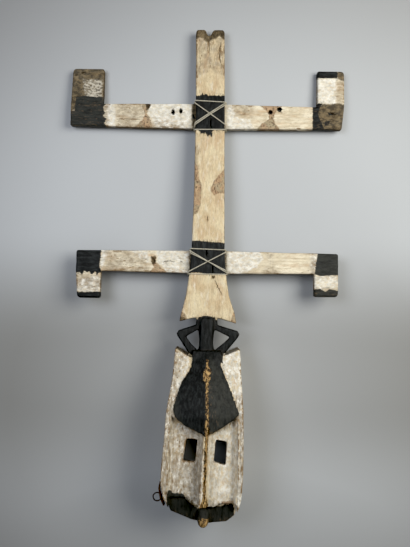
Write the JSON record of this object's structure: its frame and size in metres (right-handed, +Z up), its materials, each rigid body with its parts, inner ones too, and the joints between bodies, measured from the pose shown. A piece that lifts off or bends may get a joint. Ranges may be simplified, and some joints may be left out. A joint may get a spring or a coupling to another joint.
{
  "type": "kanaga mask",
  "caption": "Wooden face mask with a hollow box for the face, square eye holes, an openwork figure and a tall flared board that carries crossbars tied on with cord.",
  "frame": {"origin": "on the surface it lies on, under the centre of its length and width", "axes": "+Y up the mask, from the chin to the top of the board; +Z up, out of the face; +X to the right as the face is looked at"},
  "size_m": [0.626, 1.0874, 0.1667],
  "materials": {
    "carved_wood": "dry carved wood with worn cream earth paint and flat black paint",
    "plank_wood": "dry hewn plank with worn cream earth paint and flat black paint",
    "plant_fibre": "twisted plant fibre cord, weathered pale",
    "dark_hide": "stiff dry rawhide, darkened",
    "rusted_iron": "dark rusted iron wire"
  },
  "bodies": {
    "root": {"mask_and_board": "carved_wood", "upper_crossbar": "plank_wood", "lower_crossbar": "plank_wood", "upper_lashing": "plant_fibre", "lower_lashing": "plant_fibre", "hide_strip": "dark_hide", "wire_ring": "rusted_iron"}
  },
  "joints": []
}
